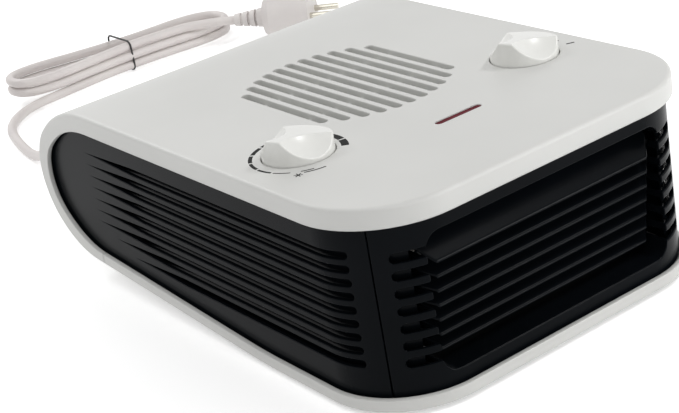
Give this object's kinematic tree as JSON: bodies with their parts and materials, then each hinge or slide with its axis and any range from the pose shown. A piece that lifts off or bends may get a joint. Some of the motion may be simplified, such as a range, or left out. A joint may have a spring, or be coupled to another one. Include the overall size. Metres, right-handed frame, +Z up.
{
  "type": "ceramic space heater",
  "caption": "Flat table-top fan heater: white shell swept round the back, black louvred sides and slatted front outlet, round top intake, two dials, tied cord.",
  "frame": {"origin": "centre of the case's footprint on the table, under the foot pads", "axes": "+X to the right seen from the front, -Y out of the front outlet, +Z up"},
  "size_m": [0.3573, 0.6315, 0.1188],
  "materials": {
    "white_shell": "satin",
    "black_moulding": "satin",
    "knob_white": "gloss",
    "red_lens": "gloss",
    "neon_glass": "gloss",
    "shaft_steel": "satin",
    "control_body": "matte",
    "duct_plastic": "matte",
    "fan_plastic": "satin",
    "motor_steel": "satin",
    "heater_plastic": "matte",
    "fin_aluminium": "satin",
    "ceramic": "matte",
    "foot_rubber": "matte",
    "screw_steel": "satin",
    "terminal_plastic": "matte",
    "cord_pvc": "satin",
    "tie_black": "matte",
    "plug_pvc": "satin",
    "pin_brass": "polished"
  },
  "bodies": {
    "case": {"top_cover": "white_shell", "bottom_cover": "white_shell", "left_panel": "black_moulding", "right_panel": "black_moulding", "front_grille": "black_moulding", "foot_pads": "foot_rubber", "case_screws": "screw_steel", "thermostat_body": "control_body", "switch_body": "control_body", "indicator_lens": "red_lens", "indicator_lamp": "neon_glass", "fan_housing": "duct_plastic", "motor_mount": "shaft_steel", "motor": "motor_steel", "heater_frame": "heater_plastic", "ceramic_bars": "ceramic", "heater_fins": "fin_aluminium", "thermal_cutout": "shaft_steel", "terminal_block": "terminal_plastic", "strain_relief": "plug_pvc", "cord_lead": "cord_pvc", "cord_hank": "cord_pvc", "cord_tail": "cord_pvc", "cord_tie": "tie_black", "plug_relief": "plug_pvc", "plug_body": "plug_pvc", "plug_pins": "pin_brass"},
    "thermostat_dial": {"thermostat_knob": "knob_white", "thermostat_shaft": "shaft_steel"},
    "switch_dial": {"switch_knob": "knob_white", "switch_shaft": "shaft_steel"},
    "fan": {"fan_wheel": "fan_plastic", "motor_spindle": "shaft_steel"}
  },
  "joints": [
    {"name": "thermostat_turn", "type": "hinge", "parent": "case", "child": "thermostat_dial", "pos_m": [-0.074, -0.0638, 0.106], "axis": [0, 0, 1], "range_deg": [-270, 0]},
    {"name": "switch_turn", "type": "hinge", "parent": "case", "child": "switch_dial", "pos_m": [0.074, -0.0638, 0.106], "axis": [0, 0, 1], "range_deg": [-135, 0]},
    {"name": "fan_spin", "type": "hinge", "parent": "case", "child": "fan", "pos_m": [0, -0.006, 0.0754], "axis": [0, 0, 1], "continuous": true}
  ]
}
